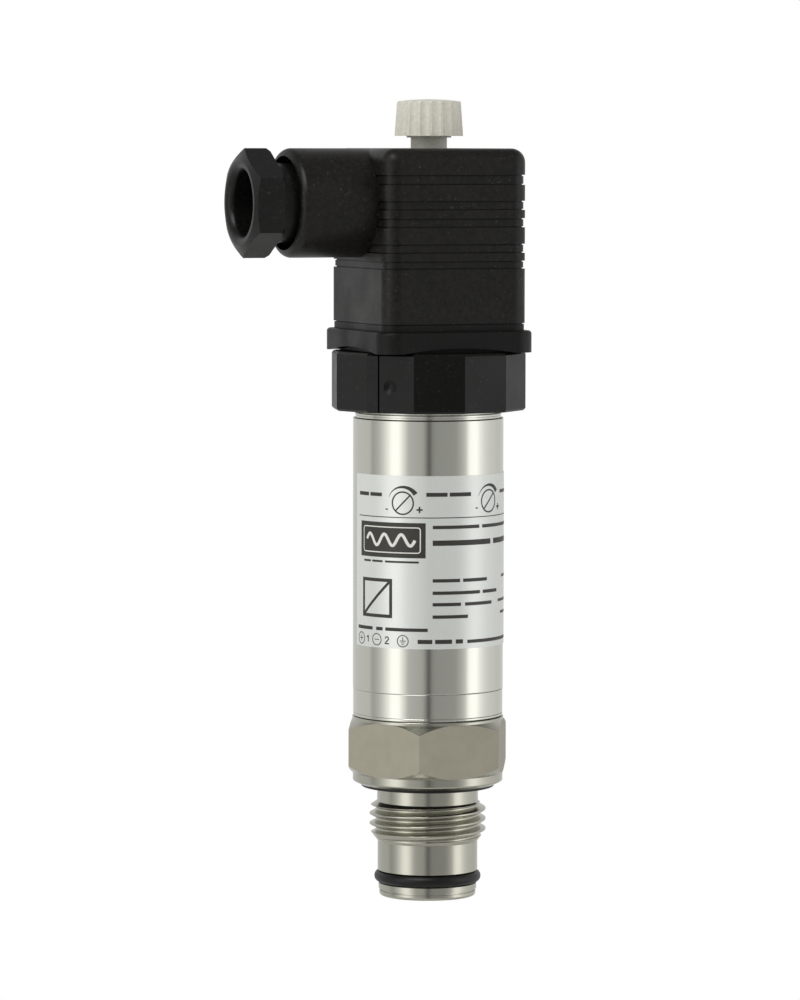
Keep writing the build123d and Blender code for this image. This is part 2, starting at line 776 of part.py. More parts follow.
terminal_block = block(block_side, block_side, block_z, block_top_z)
terminal_block = fillet(terminal_block.edges().filter_by(Axis.Z), plug_corner / 2)
pocket = Pos(contact_x, 0, 0) * block(
    contact_t + 2 * weld_gap, contact_w + 2 * weld_gap, block_z, contact_top_z
)
head_room = Pos(terminal_screw_circle, 0, 0) * disc(
    terminal_head_r + ring_gap, contact_top_z, block_top_z
)
for turn in (0, 90, 180, 270):
    terminal_block -= Rot(0, 0, turn) * (pocket + head_room)
terminal_block -= disc(block_hole_r, block_z, block_top_z)
export_step(terminal_block, "parts/terminal_block.step")

quarter_turns = (0, 90, 180, 270)
receptacle_clips = Compound(children=[Rot(0, 0, turn) * clip for turn in quarter_turns])
export_step(receptacle_clips, "parts/receptacle_clips.step")

terminal_screws = Compound(children=[Rot(0, 0, turn) * terminal_screw for turn in quarter_turns])
export_step(terminal_screws, "parts/terminal_screws.step")

# Central screw with its seal and the fluted knob moulded on its head
stem_low_z = plug_top_z - stem_sink
knob_z = plug_top_z + stem_rise
central_screw = disc(screw_r, plug_z - screw_tip_reach, knob_z)
central_screw += disc(screw_core_r, knob_z, knob_z + screw_core_h)
export_step(central_screw, "parts/central_screw.step")

screw_seal = tube_of(stem_r + ring_gap, seal_bore_r, screw_bore_z, screw_bore_z + seal_h)
export_step(screw_seal, "parts/screw_seal.step")

knob_body_z = knob_z + knob_step_h
knob_top_z = knob_body_z + knob_h
knob = turned([
    (0, stem_low_z),
    (stem_r, stem_low_z),
    (stem_r, knob_z),
    (knob_step_r, knob_z),
    (knob_step_r, knob_body_z),
    (knob_low_r, knob_body_z),
    (knob_top_r, knob_top_z - knob_chamfer),
    (knob_top_r - knob_chamfer, knob_top_z + knob_dome),
    (0, knob_top_z + knob_dome),
])
dome_r = (knob_top_r**2 + knob_dome**2) / (2 * knob_dome)
knob = knob & (Pos(0, 0, knob_top_z + knob_dome - dome_r) * Sphere(dome_r))
flute_lean = (knob_low_r - knob_top_r) / knob_h
flute = Cylinder(flute_r, 2 * knob_h)
flute = Rot(0, -degrees(flute_lean), 0) * flute
flute_x = (knob_low_r + knob_top_r) / 2 + flute_r - flute_depth
flute = Pos(flute_x, 0, knob_body_z + knob_h / 2) * flute
flute = flute & block(4 * knob_low_r, 4 * flute_r, knob_body_z, knob_top_z + knob_dome)
for i in range(flute_count):
    knob -= Rot(0, 0, i * 360 / flute_count) * flute
knob -= disc(screw_core_r, knob_z, knob_z + screw_core_h)
knob -= disc(screw_r, stem_low_z, knob_z)
export_step(knob, "parts/knob.step")

# Cable gland: hexagonal nut, pressure washer and rubber grommet
nut_back_x = boss_reach + nut_gap
nut_ridge_end_x = nut_back_x + nut_ridge
nut_face_x = nut_ridge_end_x + nut_nose
nut_corner_r = nut_af / 3**0.5
nut_plane = Plane(origin=(-nut_back_x, 0, gland_z), x_dir=(0, 1, 0), z_dir=(-1, 0, 0))
nut_hex = nut_plane * extrude(
    RegularPolygon(nut_af / 2, 6, major_radius=False, rotation=90 + nut_turn), nut_ridge + nut_nose
)
nut_outline = Polyline(
    (0, 0),
    (nut_corner_r - nut_chamfer_back, 0),
    (nut_corner_r, nut_chamfer_back),
    (nut_corner_r, nut_ridge),
    (nut_face_r, nut_ridge + nut_nose),
    (0, nut_ridge + nut_nose),
    close=True,
)
nut_envelope = revolve(Plane.XZ * make_face(nut_outline), Axis.Z, 360)
gland_nut = nut_hex & (nut_plane * nut_envelope)
nut_shank_r = boss_bore_r - turn_gap
nut_neck_x = boss_reach - nut_neck_sink
gland_nut += along_gland(nut_shank_r, nut_shank_end_x, nut_neck_x)
gland_nut += along_gland(nut_shank_r - nut_neck_step, nut_neck_x, nut_back_x)
gland_nut -= along_gland(nut_bore_r, nut_shank_end_x, nut_face_x)
bore_rims = gland_nut.edges().filter_by(lambda e: abs(e.bounding_box().size.Z - 2 * nut_bore_r) < 0.01)
gland_nut = fillet(bore_rims.filter_by(GeomType.CIRCLE).sort_by(Axis.X)[0], nut_mouth)
export_step(gland_nut, "parts/gland_nut.step")

washer_far_x = nut_shank_end_x - seat_gap
washer_near_x = washer_far_x - washer_t
gland_washer = along_gland(nut_shank_r, washer_near_x, washer_far_x)
gland_washer -= along_gland(nut_bore_r, washer_near_x, washer_far_x)
export_step(gland_washer, "parts/gland_washer.step")

grommet_r = boss_bore_r - ring_gap
gland_grommet = along_gland(grommet_r, boss_step_x, washer_near_x)
gland_grommet -= along_gland(grommet_bore_r, boss_step_x, washer_near_x)
export_step(gland_grommet, "parts/gland_grommet.step")
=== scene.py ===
# %% [markdown]
# # A pressure transmitter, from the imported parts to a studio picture
# The real object is a turned stainless steel body with a thin foil label, a square polyamide
# plug and a cable gland. The solids already have their true shapes, so most pieces keep them
# and only get a finish here. Two things are made in this file: the pipe thread, which is too
# fine for the solids, and the print on the label.

# %% Load the frame
import bmesh
import bpy
import json
from math import ceil, cos, pi, radians, sin
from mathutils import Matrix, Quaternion, Vector


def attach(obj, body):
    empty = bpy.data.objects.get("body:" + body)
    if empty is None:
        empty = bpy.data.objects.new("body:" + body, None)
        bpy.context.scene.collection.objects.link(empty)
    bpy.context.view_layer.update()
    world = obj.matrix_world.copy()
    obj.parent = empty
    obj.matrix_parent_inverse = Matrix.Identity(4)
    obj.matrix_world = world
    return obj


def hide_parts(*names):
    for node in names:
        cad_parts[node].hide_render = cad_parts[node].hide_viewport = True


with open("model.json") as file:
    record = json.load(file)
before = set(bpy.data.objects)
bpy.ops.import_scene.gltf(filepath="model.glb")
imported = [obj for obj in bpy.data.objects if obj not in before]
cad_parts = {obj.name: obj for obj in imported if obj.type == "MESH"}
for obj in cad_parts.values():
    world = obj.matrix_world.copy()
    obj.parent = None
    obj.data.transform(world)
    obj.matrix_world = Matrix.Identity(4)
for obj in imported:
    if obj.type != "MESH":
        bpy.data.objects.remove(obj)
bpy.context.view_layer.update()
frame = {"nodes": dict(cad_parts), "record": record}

MM = 0.001

# %% [markdown]
# ## Colour and nodes
# Hex colours are easy to read off a colour chart, but shading needs linear light, so one
# function turns one into the other. One more adds a node with its settings and its links, and
# three short ones start a material, mix two colours and add the main shader. With these, each
# material below reads as a short list of what the surface really has.

# %% Helpers for materials
def linear(code):
    """A hex colour as linear red, green, blue and alpha."""
    parts = [int(code[i:i + 2], 16) / 255 for i in (0, 2, 4)]
    return [c / 12.92 if c <= 0.04045 else ((c + 0.055) / 1.055) ** 2.4 for c in parts] + [1]


def node(tree, kind, settings=None, **links):
    """Add a node. Links and values go to the inputs of the same name, with _ for a space.

    An input whose name is used twice is given by its place, as in i6.
    """
    made = tree.nodes.new(kind)
    for name, value in (settings or {}).items():
        setattr(made, name, value)
    for name, value in links.items():
        key = int(name[1:]) if name[0] == "i" and name[1:].isdigit() else name.replace("_", " ")
        if isinstance(value, bpy.types.NodeSocket):
            tree.links.new(value, made.inputs[key])
        else:
            made.inputs[key].default_value = value
    return made


def finish(name):
    """A new material with an empty node tree, and its output."""
    material = bpy.data.materials.new(name)
    material.use_nodes = True
    material.node_tree.nodes.clear()
    output = material.node_tree.nodes.new("ShaderNodeOutputMaterial")
    return material, material.node_tree, output


def shade(tree, share, low, high):
    """A colour between two others."""
    mix = node(tree, "ShaderNodeMix", {"data_type": "RGBA"}, Factor=share, i6=low, i7=high)
    return mix.outputs[2]


def surface(tree, output, **inputs):
    """The main shader with its values, joined to the output."""
    shader = node(tree, "ShaderNodeBsdfPrincipled", **inputs)
    tree.links.new(shader.outputs[0], output.inputs[0])


print("mid grey 808080 is", round(linear("808080")[0], 3), "in linear light")

# %% [markdown]
# ## Stainless steel, turned
# The body, ring and tube are austenitic stainless steel, shaped on a lathe. The tool leaves
# fine rings round the axis, which blur reflections up and down more than sideways. The rings
# are noise squeezed along the axis and read as bump. Steel is a warm grey with a default IOR
# and full metallic, and faint smudges from handling change its shine a little.

# %% Turned steel
TOOL_FEED = 0.16 * MM      # spacing of the turning marks, as coarse as they need to show
MARK_LENGTH = 25 * MM      # length over which one mark changes
SMUDGES = 70.0             # smudges in a metre
RELIEF = 0.02 * MM         # height that each finish's own depth is a share of


def turned_steel(name, colour, roughness, depth, feed):
    """A metal with turning marks: their depth and how far apart they are."""
    material, tree, output = finish(name)
    place = node(tree, "ShaderNodeTexCoord").outputs["Object"]
    squeeze = (1 / MARK_LENGTH, 1 / MARK_LENGTH, 1 / feed)
    squeezed = node(tree, "ShaderNodeMapping", Vector=place, Scale=squeeze).outputs[0]
    rings = node(tree, "ShaderNodeTexNoise", Vector=squeezed, Scale=1.0, Detail=2.0).outputs[0]
    smudge = node(tree, "ShaderNodeTexNoise", Vector=place, Scale=SMUDGES, Detail=3.0).outputs[0]
    rough = node(
        tree, "ShaderNodeMapRange", Value=smudge,
        To_Min=roughness * 0.85, To_Max=roughness * 1.2,
    ).outputs[0]
    bump = node(tree, "ShaderNodeBump", Height=rings, Strength=depth, Distance=RELIEF).outputs[0]
    surface(
        tree, output, Base_Color=linear(colour), Metallic=1.0, Roughness=rough, Normal=bump
    )
    return material


tube_steel = turned_steel("stainless_steel_polished_tube", "C9C9C0", 0.16, 0.25, TOOL_FEED)
body_steel = turned_steel("stainless_steel_turned", "AFAEA2", 0.2, 0.5, TOOL_FEED)
print("turning marks every", TOOL_FEED / MM, "mm")

# %% [markdown]
# ## Stainless steel, drawn flats
# The hexagon keeps the flats of the bar it was cut from. Drawn bar is duller and a little
# warmer than the turned parts, with short level scratches and pale clouds. Its skin scatters
# light so widely that it looks nearly painted, so the metallic share is low.

# %% Drawn flats
SCRATCHES = (900, 900, 5000)    # scratches in a metre, sideways twice and then upwards
CLOUDS = 420.0                  # clouds in a metre


def drawn_flats():
    """The dull skin of drawn bar."""
    material, tree, output = finish("stainless_steel_drawn_flats")
    place = node(tree, "ShaderNodeTexCoord").outputs["Object"]
    across = node(tree, "ShaderNodeMapping", Vector=place, Scale=SCRATCHES).outputs[0]
    scratch = node(tree, "ShaderNodeTexNoise", Vector=across, Scale=1.0, Detail=4.0).outputs[0]
    cloud = node(tree, "ShaderNodeTexNoise", Vector=place, Scale=CLOUDS, Detail=5.0).outputs[0]
    tone = shade(tree, cloud, linear("918D7D"), linear("A39F8E"))
    rough = node(tree, "ShaderNodeMapRange", Value=cloud, To_Min=0.5, To_Max=0.66).outputs[0]
    bump = node(tree, "ShaderNodeBump", Height=scratch, Strength=0.35, Distance=RELIEF).outputs[0]
    surface(tree, output, Base_Color=tone, Metallic=0.22, Roughness=rough, Normal=bump)
    return material


flat_steel = drawn_flats()
print("clouds on the flats every", round(1 / CLOUDS / MM, 1), "mm")

# %% [markdown]
# ## Moulded plastics and rubbers
# Plug, ring, gland nut and base are black glass-filled polyamide. The mould is spark eroded,
# which gives a fine grain, 0.25 to 0.35 mm across, and a soft sheen. Glass filling drifts in
# the melt and mottles the tone, and black plastic shows dust. The knob is a light-grey
# polyamide from the same kind of mould. Seals are nitrile rubber: duller and smoother. One
# recipe fits them all, with other colours, grains and roughness.

# %% A recipe for moulded materials
FLOW_MARKS = 120.0         # places in a metre where the melt flowed together
BLOT = 2.5                 # width of a blot of tone, in grains
DUST_PITCH = 0.55 * MM
DUST = "8A8884"


def moulded(name, colour, roughness, grain, depth, drift=0.12, sheen=0.5, dust=0.0):
    """A moulded plastic or rubber: grain size, drift of its tone, shine, and dust on it."""
    material, tree, output = finish(name)
    place = node(tree, "ShaderNodeTexCoord").outputs["Object"]
    pits = node(tree, "ShaderNodeTexNoise", Vector=place, Scale=1 / grain, Detail=2.0).outputs[0]
    flow = node(tree, "ShaderNodeTexNoise", Vector=place, Scale=FLOW_MARKS, Detail=3.0).outputs[0]
    blots = node(
        tree, "ShaderNodeTexNoise", Vector=place, Scale=1 / (BLOT * grain),
        Detail=5.0, Roughness=0.65,
    ).outputs[0]
    mottle = node(tree, "ShaderNodeMapRange", Value=blots, From_Min=0.35, From_Max=0.65).outputs[0]
    base = linear(colour)
    low = [c * (1 - drift) for c in base[:3]] + [1]
    high = [min(1, c * (1 + drift)) for c in base[:3]] + [1]
    tone = shade(tree, mottle, low, high)
    if dust:
        fluff = node(tree, "ShaderNodeTexNoise", Vector=place, Scale=1 / DUST_PITCH, Detail=1.0)
        specks = node(
            tree, "ShaderNodeMapRange", Value=fluff.outputs[0],
            From_Min=0.66, From_Max=0.76, To_Max=dust,
        ).outputs[0]
        tone = shade(tree, specks, tone, linear(DUST))
    rough = node(
        tree, "ShaderNodeMapRange", Value=flow, From_Min=0.3, From_Max=0.7,
        To_Min=roughness * 0.8, To_Max=roughness * 1.2,
    ).outputs[0]
    bump = node(tree, "ShaderNodeBump", Height=pits, Strength=depth, Distance=RELIEF).outputs[0]
    surface(
        tree, output, Base_Color=tone, Roughness=rough, IOR=1.5, Specular_IOR_Level=sheen,
        Normal=bump,
    )
    return material


# %% [markdown]
# ## The plastics and rubbers outside and inside
# Each call says the colour, the roughness, the grain's size and its depth. The outer ones were
# matched to the picture, the inner ones start from usual colours of such pieces.

# %% Moulded materials
ERODED = 0.25 * MM         # grain of a spark eroded mould
hood_black = moulded(
    "polyamide_black_eroded", "0F0D0B", 0.42, 0.35 * MM, 0.9, drift=0.75, sheen=0.25, dust=0.09
)
ring_black = moulded(
    "polyamide_black_ring", "050403", 0.36, ERODED, 0.5, drift=0.7, sheen=0.215, dust=0.06
)
nut_black = moulded(
    "polyamide_black_nut", "0C0B0A", 0.36, ERODED, 0.4, drift=0.5, sheen=0.25, dust=0.06
)
knob_grey = moulded("polyamide_light_grey", "CFCDBF", 0.42, ERODED, 0.3, drift=0.08)
seal_rubber = moulded(
    "nitrile_rubber_seal", "0B0A0A", 0.42, 0.12 * MM, 0.15, drift=0.1, sheen=0.3
)
gasket_rubber = moulded(
    "nitrile_rubber_gasket", "050403", 0.46, 0.2 * MM, 0.3, drift=0.6, sheen=0.225, dust=0.05
)
insert_plastic = moulded("polyamide_grey_insert", "4A4B4D", 0.5, ERODED, 0.2)
lead_red = moulded("pvc_red_insulation", "A02018", 0.4, 0.3 * MM, 0.1)
rotor_white = moulded("polyamide_white_rotor", "E2E0D6", 0.45, 0.2 * MM, 0.1, drift=0.04)
chip_resin = moulded("epoxy_black_chip", "202122", 0.55, 0.1 * MM, 0.2)
ceramic_tan = moulded("ceramic_capacitor", "A98E68", 0.35, 0.15 * MM, 0.15, drift=0.06)
board_green = moulded("glass_epoxy_board", "1F5A34", 0.35, 0.4 * MM, 0.2, drift=0.1)
ribbon_amber = moulded("polyimide_ribbon", "B0701E", 0.3, 0.5 * MM, 0.1, drift=0.08)
print("grain of the mould is", ERODED / MM, "mm")

# %% [markdown]
# ## Small metal parts
# Contacts and clips are tinned brass and the insert is plain brass. They are stamped or turned
# and sit inside, so a fine turned finish with their own colours is enough.

# %% Tin and brass
tin = turned_steel("tinned_brass_stamped", "C8C9C8", 0.3, 0.2, 0.3 * MM)
brass = turned_steel("brass_turned", "C9A24E", 0.28, 0.3, 0.2 * MM)
glass_metal = turned_steel("glass_sealed_header", "B9B2A0", 0.32, 0.2, 0.2 * MM)
screw_steel = turned_steel("stainless_steel_screw", "D2D0BE", 0.42, 0.3, 0.2 * MM)
print("materials so far:", len(bpy.data.materials))

# %% [markdown]
# ## Label foil and ink
# The label is a silver-grey polyester foil. It has aluminium behind a matt lacquer, so it
# shows a broad soft sheen rather than mirror lines. The ink is screen printed, nearly black,
# and a little warm.

# %% Label foil and ink
FIBRE = 0.4 * MM           # size of the faint clouds in the lacquer


def foil():
    """Aluminium behind matt lacquer, partly metallic."""
    material, tree, output = finish("polyester_foil_silver")
    place = node(tree, "ShaderNodeTexCoord").outputs["Object"]
    fibre = node(tree, "ShaderNodeTexNoise", Vector=place, Scale=1 / FIBRE, Detail=3.0).outputs[0]
    tone = shade(tree, fibre, linear("D3D6D1"), linear("DBDDD8"))
    bump = node(tree, "ShaderNodeBump", Height=fibre, Strength=0.08, Distance=RELIEF).outputs[0]
    surface(tree, output, Base_Color=tone, Metallic=0.4, Roughness=0.33, Normal=bump)
    return material


label_foil = foil()
ink = moulded("screen_ink_dark", "2A2822", 0.5, 0.2 * MM, 0.1, drift=0.1)
light_ink = moulded("screen_ink_light", "D8D8D0", 0.5, 0.2 * MM, 0.1, drift=0.03)
print("materials:", len(bpy.data.materials))

# %% [markdown]
# ## Finishes onto the solids
# Each solid keeps its shape and gets the finish of its real material. A table from finish to
# pieces is shorter than a call for each piece, and shows at a glance what is made of what.

# %% Dress the solids
FINISHES = {
    tube_steel: "housing_tube weld_ring tube_cap",
    body_steel: "process_body diaphragm cell_clamp_ring gland_washer",
    hood_black: "plug_housing",
    ring_black: "polygon_ring connector_base",
    nut_black: "gland_nut",
    knob_grey: "knob",
    seal_rubber: "tip_o_ring seat_ring cell_o_ring cap_o_ring screw_seal gland_grommet",
    gasket_rubber: "profile_gasket",
    label_foil: "label",
    insert_plastic: "terminal_block board_carrier zero_trimmer span_trimmer",
    board_green: "signal_board trimmer_board",
    chip_resin: "processor_chip output_driver",
    ceramic_tan: "filter_capacitors",
    ribbon_amber: "cell_ribbon",
    lead_red: "inner_leads",
    rotor_white: "zero_rotor span_rotor",
    glass_metal: "sensor_cell",
    screw_steel: "central_screw",
    tin: "contact_blades earth_blade receptacle_clips terminal_screws",
    brass: "screw_insert",
}
for material, names in FINISHES.items():
    for name in names.split():
        solid = frame["nodes"][name]
        for index in range(len(solid.material_slots)):
            solid.material_slots[index].material = material
        if not solid.material_slots:
            solid.data.materials.append(material)
print("dressed", sum(len(names.split()) for names in FINISHES.values()), "solids")

# %% [markdown]
# ## The pipe thread
# A G 1/2 thread has a pitch of 1.814 mm and flanks at 55 degrees with rounded crests and
# roots. It could be cut with a screw modifier and a boolean, but a skin whose radius follows
# the thread at each height and angle is simpler, and can't fail as a boolean can. The radius
# never passes the blank's own outline, so the first and last turns fade out as they do on the
# real part.

# %% The thread's radius
PITCH = 1.814
DEPTH = 1.162
CREST_R = 20.955 / 2
ROOT_R = CREST_R - DEPTH
CREST_Z = -5.5              # a height at which there is a crest
CREST_TURN = 157.5          # the angle of that crest, in degrees
CREST_SHARE = 0.13          # share of the way from crest to root that is rounded off as crest
FLANK_SHARE = 0.74          # share of it that slopes
ROUNDING = 0.35             # how much of the slope is a wave and not a straight flank
BLANK = [(9.0, -10.4), (CREST_R, -8.5), (CREST_R, -4.1), (9.1, -3.2)]   # radius, height


def blank_radius(z):
    """Radius of the unthreaded blank at a height, in millimetres."""
    for (r0, z0), (r1, z1) in zip(BLANK, BLANK[1:]):
        if z <= z1:
            return r0 + (r1 - r0) * (z - z0) / (z1 - z0)
    return BLANK[-1][0]


def thread_radius(z, turn):
    """Radius of the endless thread at a height and an angle."""
    phase = (z - CREST_Z) / PITCH - (turn - CREST_TURN) / 360
    swing = abs(phase - round(phase)) * 2
    slope = min(1, max(0, (swing - CREST_SHARE) / FLANK_SHARE))
    wave = 0.5 - 0.5 * cos(pi * slope)
    return CREST_R - DEPTH * (wave * ROUNDING + slope * (1 - ROUNDING))


print("crest", CREST_R, "mm, root", round(ROOT_R, 3), "mm")

# %% [markdown]
# ## The body with its thread
# The body's mesh is copied and the faces of its blank are deleted. The skin of the thread is a
# grid of points, rows up and columns round, with its first and last row on the blank's ends.
# The hexagon's flats get the drawn finish, the rest the turned one, and that is easiest to
# tell from where a face lies and which way it looks.

# %% Make the threaded body
SKIN_ROWS = 150
SKIN_SIDES = 240
BLANK_REACH = 0.25          # how far inside the blank's narrow ends its faces' middles may lie
END_GAP = 0.02              # room kept at the blank's ends, so that their neighbours stay
FLAT_FROM, FLAT_TO = 2.1, 11.75     # heights of the hexagon
FLAT_R = 13.3               # the flats' middles are further out than this
UPRIGHT = 0.02              # a flat's normal rises less than this


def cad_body(name):
    """The body that a node belongs to."""
    for body, names in frame["record"]["behaviour"]["bodies"].items():
        if name in names:
            return body


def drop_blank(shape):
    """Delete the faces of the blank and say how many there were."""
    low, high = BLANK[0][1] + END_GAP, BLANK[-1][1] - END_GAP
    inner = min(BLANK[0][0], BLANK[-1][0]) - BLANK_REACH
    doomed = []
    for face in shape.faces:
        middle = face.calc_center_median() / MM
        if low < middle.z < high and middle.xy.length > inner:
            doomed.append(face)
    count = len(doomed)
    bmesh.ops.delete(shape, geom=doomed, context="FACES")
    return count


def add_skin(shape):
    """The thread's skin, row by row from the bottom."""
    rows = []
    for j in range(SKIN_ROWS + 1):
        z = BLANK[0][1] + (BLANK[-1][1] - BLANK[0][1]) * j / SKIN_ROWS
        row = []
        for i in range(SKIN_SIDES):
            turn = 360 * i / SKIN_SIDES
            radius = min(blank_radius(z), max(thread_radius(z, turn), ROOT_R))
            row.append(shape.verts.new((
                radius * cos(radians(turn)) * MM, radius * sin(radians(turn)) * MM, z * MM
            )))
        rows.append(row)
    for j in range(SKIN_ROWS):
        for i in range(SKIN_SIDES):
            k = (i + 1) % SKIN_SIDES
            face = shape.faces.new((rows[j][i], rows[j][k], rows[j + 1][k], rows[j + 1][i]))
            face.smooth = True


def threaded_body():
    """The body with its blank replaced by the thread, and two finishes."""
    mesh = frame["nodes"]["process_body"].data.copy()
    body = bpy.data.objects.new("process_body_threaded", mesh)
    bpy.context.collection.objects.link(body)
    shape = bmesh.new()
    shape.from_mesh(mesh)
    dropped = drop_blank(shape)
    add_skin(shape)
    for face in shape.faces:
        middle = face.calc_center_median() / MM
        upright = abs(face.normal.z) < UPRIGHT and FLAT_FROM < middle.z < FLAT_TO
        face.material_index = 1 if upright and middle.xy.length > FLAT_R else 0
    mesh.materials.clear()
    mesh.materials.append(body_steel)
    mesh.materials.append(flat_steel)
    shape.to_mesh(mesh)
    shape.free()
    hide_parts("process_body")
    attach(body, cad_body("process_body"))
    print("thread skin took the place of", dropped, "faces of the blank")


threaded_body()

# %% [markdown]
# ## Print on the label
# Screen print is a film of ink a few micrometres thick. It could be painted with texture
# nodes, but each mark is a plain shape, so thin patches of mesh wrapped round the label are
# crisper and easier to read in code. Positions are millimetres along the label's curve from
# the line that faces the camera, and millimetres above the sealing face.

# %% Wrap flat shapes round the tube
LABEL_R = 13.62
INK_LIFT = 0.015
FRONT = -112.5              # compass angle of the camera, and so of the label's line that faces it
STEP = 0.3                  # longest straight piece, so that the ink follows the curve
dark_print = bmesh.new()
light_print = bmesh.new()


def on_label(s, z, lift):
    """The place, in metres, of a point at s and z on the label, lifted off it."""
    turn = radians(FRONT) + s / LABEL_R
    radius = LABEL_R + lift
    return radius * cos(turn) * MM, radius * sin(turn) * MM, z * MM


def ribbon(path, width, closed=False, shape=dark_print, lift=INK_LIFT):
    """A line of even or changing width along points on the label, in short pieces."""
    widths = width if isinstance(width, list) else [width] * len(path)
    ends = list(zip(path, widths))
    if closed:
        ends.append(ends[0])
    fine = []
    for (a, wide_a), (b, wide_b) in zip(ends, ends[1:]):
        steps = max(1, ceil((Vector(b) - Vector(a)).length / STEP))
        for i in range(steps):
            share = i / steps
            fine.append((Vector(a).lerp(Vector(b), share), wide_a + (wide_b - wide_a) * share))
    if not closed:
        fine.append((Vector(path[-1]), widths[-1]))
    count = len(fine)
    left, right = [], []
    for i, (spot, wide) in enumerate(fine):
        before = fine[(i - 1) % count if closed else max(0, i - 1)][0]
        after = fine[(i + 1) % count if closed else min(count - 1, i + 1)][0]
        along = (after - before).normalized()
        side = Vector((-along.y, along.x)) * wide / 2
        left.append(shape.verts.new(on_label(*(spot + side), lift)))
        right.append(shape.verts.new(on_label(*(spot - side), lift)))
    for i in range(count if closed else count - 1):
        k = (i + 1) % count
        shape.faces.new((right[i], right[k], left[k], left[i]))


print("label's face is", round(LABEL_R * 2, 2), "mm across")

# %% [markdown]
# ## Shapes to print with
# Four shapes make most of the print: a bar, a ring, a line of bars, and the adjuster sign.
# Each one is a ribbon in the end, so all of them follow the tube in the same way.

# %% Bars, rings and the adjuster sign
RING_STEPS = 40
ARC_STEPS = 30


def bar(s0, z0, s1, z1):
    """A filled bar between two corners."""
    middle = (z0 + z1) / 2
    ribbon([(s0, middle), (s1, middle)], abs(z1 - z0))


def ring(s, z, radius, width):
    """A closed ring by its middle, radius and line width."""
    turns = [radians(360 * i / RING_STEPS) for i in range(RING_STEPS)]
    ribbon([(s + radius * cos(t), z + radius * sin(t)) for t in turns], width, True)


def print_line(z, height, spans):
    """Bars that stand for one line of print, by where each starts and ends."""
    for start, end in spans:
        bar(start, z - height / 2, end, z + height / 2)


def adjuster(s, z):
    """Dial with a slot, a growing arc over it, minus and plus beside it."""
    dial_r, dial_line = 1.98, 0.27
    ring(s, z, dial_r, dial_line)
    ribbon([(s - 1.3, z - 1.32), (s + 1.3, z + 1.32)], dial_line)
    first, sweep = 163, 132
    wide, high, rise = 2.78, 2.62, 0.25
    thin, growth, bend = 0.06, 0.8, 1.3
    shares = [i / ARC_STEPS for i in range(ARC_STEPS + 1)]
    turns = [radians(first - sweep * share) for share in shares]
    arc = [(s + wide * cos(t), z + high * sin(t) + rise) for t in turns]
    ribbon(arc, [thin + growth * share ** bend for share in shares])
    bar(s - 3.4, z - 1.26, s - 2.9, z - 1.04)
    bar(s + 2.55, z - 1.3, s + 3.65, z - 1.0)
    bar(s + 2.95, z - 1.7, s + 3.25, z - 0.6)


# %% [markdown]
# ## Laying out the print
# Most of the label is lines of small print, so they are a list: height on the label, height of
# the bars, and where each bar starts and ends. The right ends run past the edge that the
# camera sees, up to the margin of the label.

# %% Lines of print
MARGIN = 21.0
PRINT_LINES = [
    (52.85, 0.65, [(-15.1, -12.1), (-11.7, -8.9)]),
    (53.0, 0.7, [(-0.4, 3.4), (3.8, 8.0)]),
    (53.1, 0.6, [(16.5, MARGIN)]),
    (48.88, 0.16, [(-15.2, MARGIN)]),
    (40.96, 0.36, [(-13.5, -11.6), (-11.2, -8.7), (-8.2, -1.7)]),
    (47.2, 0.6, [(0.75, 9.9), (10.6, MARGIN)]),
    (44.4, 0.95, [(0.75, 12.9), (13.8, MARGIN)]),
    (37.7, 0.6, [(0.75, 5.8), (6.4, 11.9)]),
    (35.5, 0.6, [(0.75, 10.1), (10.8, 15.1)]),
    (33.45, 0.6, [(0.75, 6.0), (6.8, 13.3)]),
    (31.25, 0.6, [(0.75, 7.4)]),
    (37.9, 0.5, [(17.5, MARGIN)]),
    (33.6, 0.5, [(15.7, MARGIN)]),
    (31.4, 0.5, [(16.9, MARGIN)]),
    (28.9, 0.6, [(-15.6, -11.1), (-10.2, -8.7), (-8.1, -0.1)]),
    (26.82, 0.75, [(-1.9, 0.7), (1.2, 4.3), (5.0, 6.4)]),
    (26.75, 0.6, [(7.3, MARGIN)]),
]
for z, height, spans in PRINT_LINES:
    print_line(z, height, spans)
adjuster(-4.7, 51.45)
adjuster(12.4, 51.6)
print("lines of print:", len(PRINT_LINES))

# %% [markdown]
# ## A framed wave
# The dark field holds a light frame with rounded corners and a light wave. Both are printed on
# top of the field, so they lie one lift of ink higher.

# %% Dark field, light frame, light wave
FIELD = (-14.5, 41.7, -0.5, 47.95)          # left, bottom, right and top
FRAME_CORNERS = [(-1.95, 46.6, 0), (-13.05, 46.6, 90), (-13.05, 43.1, 180), (-1.95, 43.1, 270)]
CORNER_R = 0.5
CORNER_STEPS = 5
FRAME_LINE = 0.2
WAVE_LINE = 0.55
WAVE_START, WAVE_LENGTH, WAVE_MIDDLE = -12.6, 10.2, 44.85
WAVE_STEPS = 72
WAVE_STEP = 15              # degrees of the wave in one step, so three whole waves

bar(*FIELD)
frame_points = []
for corner_s, corner_z, start in FRAME_CORNERS:
    for i in range(CORNER_STEPS + 1):
        turn = radians(start + 90 * i / CORNER_STEPS)
        frame_points.append((corner_s + CORNER_R * cos(turn), corner_z + CORNER_R * sin(turn)))
ribbon(frame_points, FRAME_LINE, True, light_print, 2 * INK_LIFT)
wave = [
    (WAVE_START + WAVE_LENGTH * i / WAVE_STEPS, WAVE_MIDDLE + sin(radians(WAVE_STEP * i)))
    for i in range(WAVE_STEPS + 1)
]
ribbon(wave, WAVE_LINE, False, light_print, 2 * INK_LIFT)
print("waves:", WAVE_STEPS * WAVE_STEP / 360)

# %% [markdown]
# ## Converter sign
# A square with a diagonal is the general sign for a converter: what goes in at one corner
# comes out as something else at the other.

